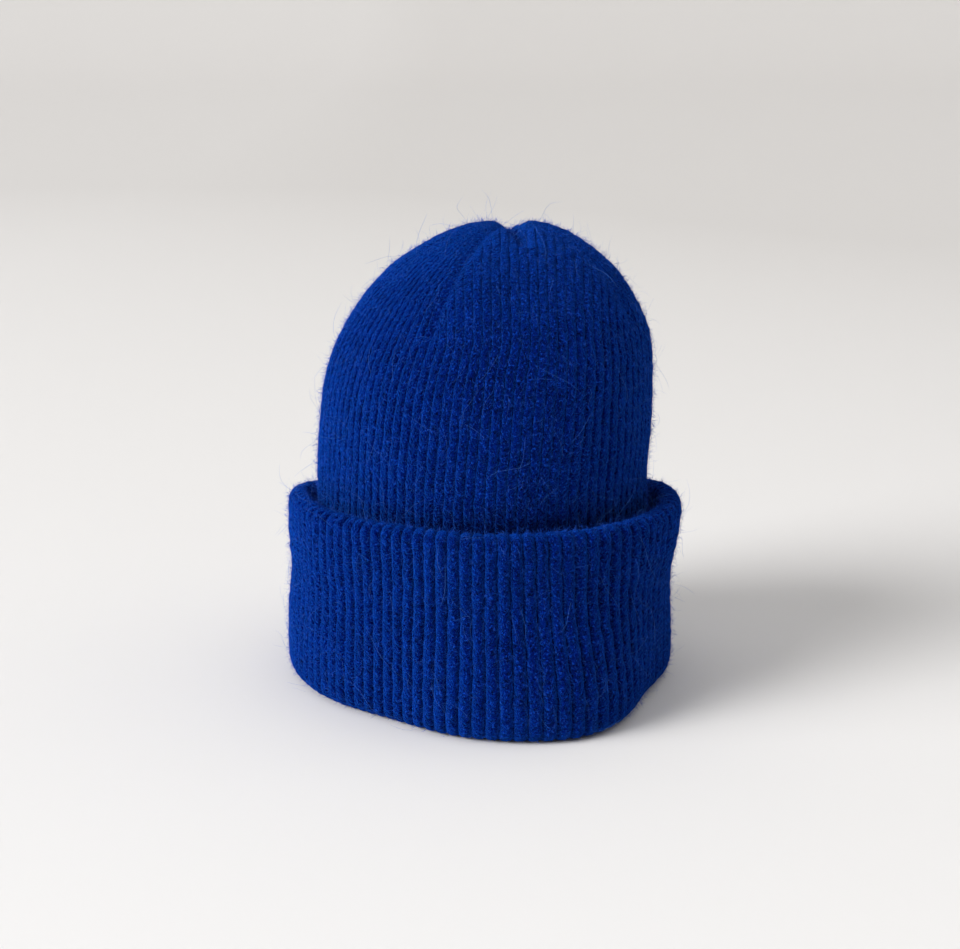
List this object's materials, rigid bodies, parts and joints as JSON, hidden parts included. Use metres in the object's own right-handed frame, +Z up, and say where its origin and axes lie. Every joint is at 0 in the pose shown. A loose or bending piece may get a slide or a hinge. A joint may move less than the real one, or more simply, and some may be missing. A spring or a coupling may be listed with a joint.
{
  "type": "ski hat",
  "caption": "Rib-knit cap that stands on its deep doubled turn-up, with a rounded crown drawn together by darts at the top and an open hollow for the head.",
  "frame": {"origin": "on the floor, under the middle of the standing hat's box", "axes": "+Z up through the crown, -Y the hat's front as it is seen, +X to the right of that view"},
  "size_m": [0.1669, 0.1694, 0.191],
  "materials": {
    "crown_knit": "brushed rib knit with a short mohair nap",
    "cuff_knit": "brushed rib knit with a short mohair nap"
  },
  "bodies": {
    "root": {"crown": "crown_knit", "cuff": "cuff_knit"}
  },
  "joints": []
}
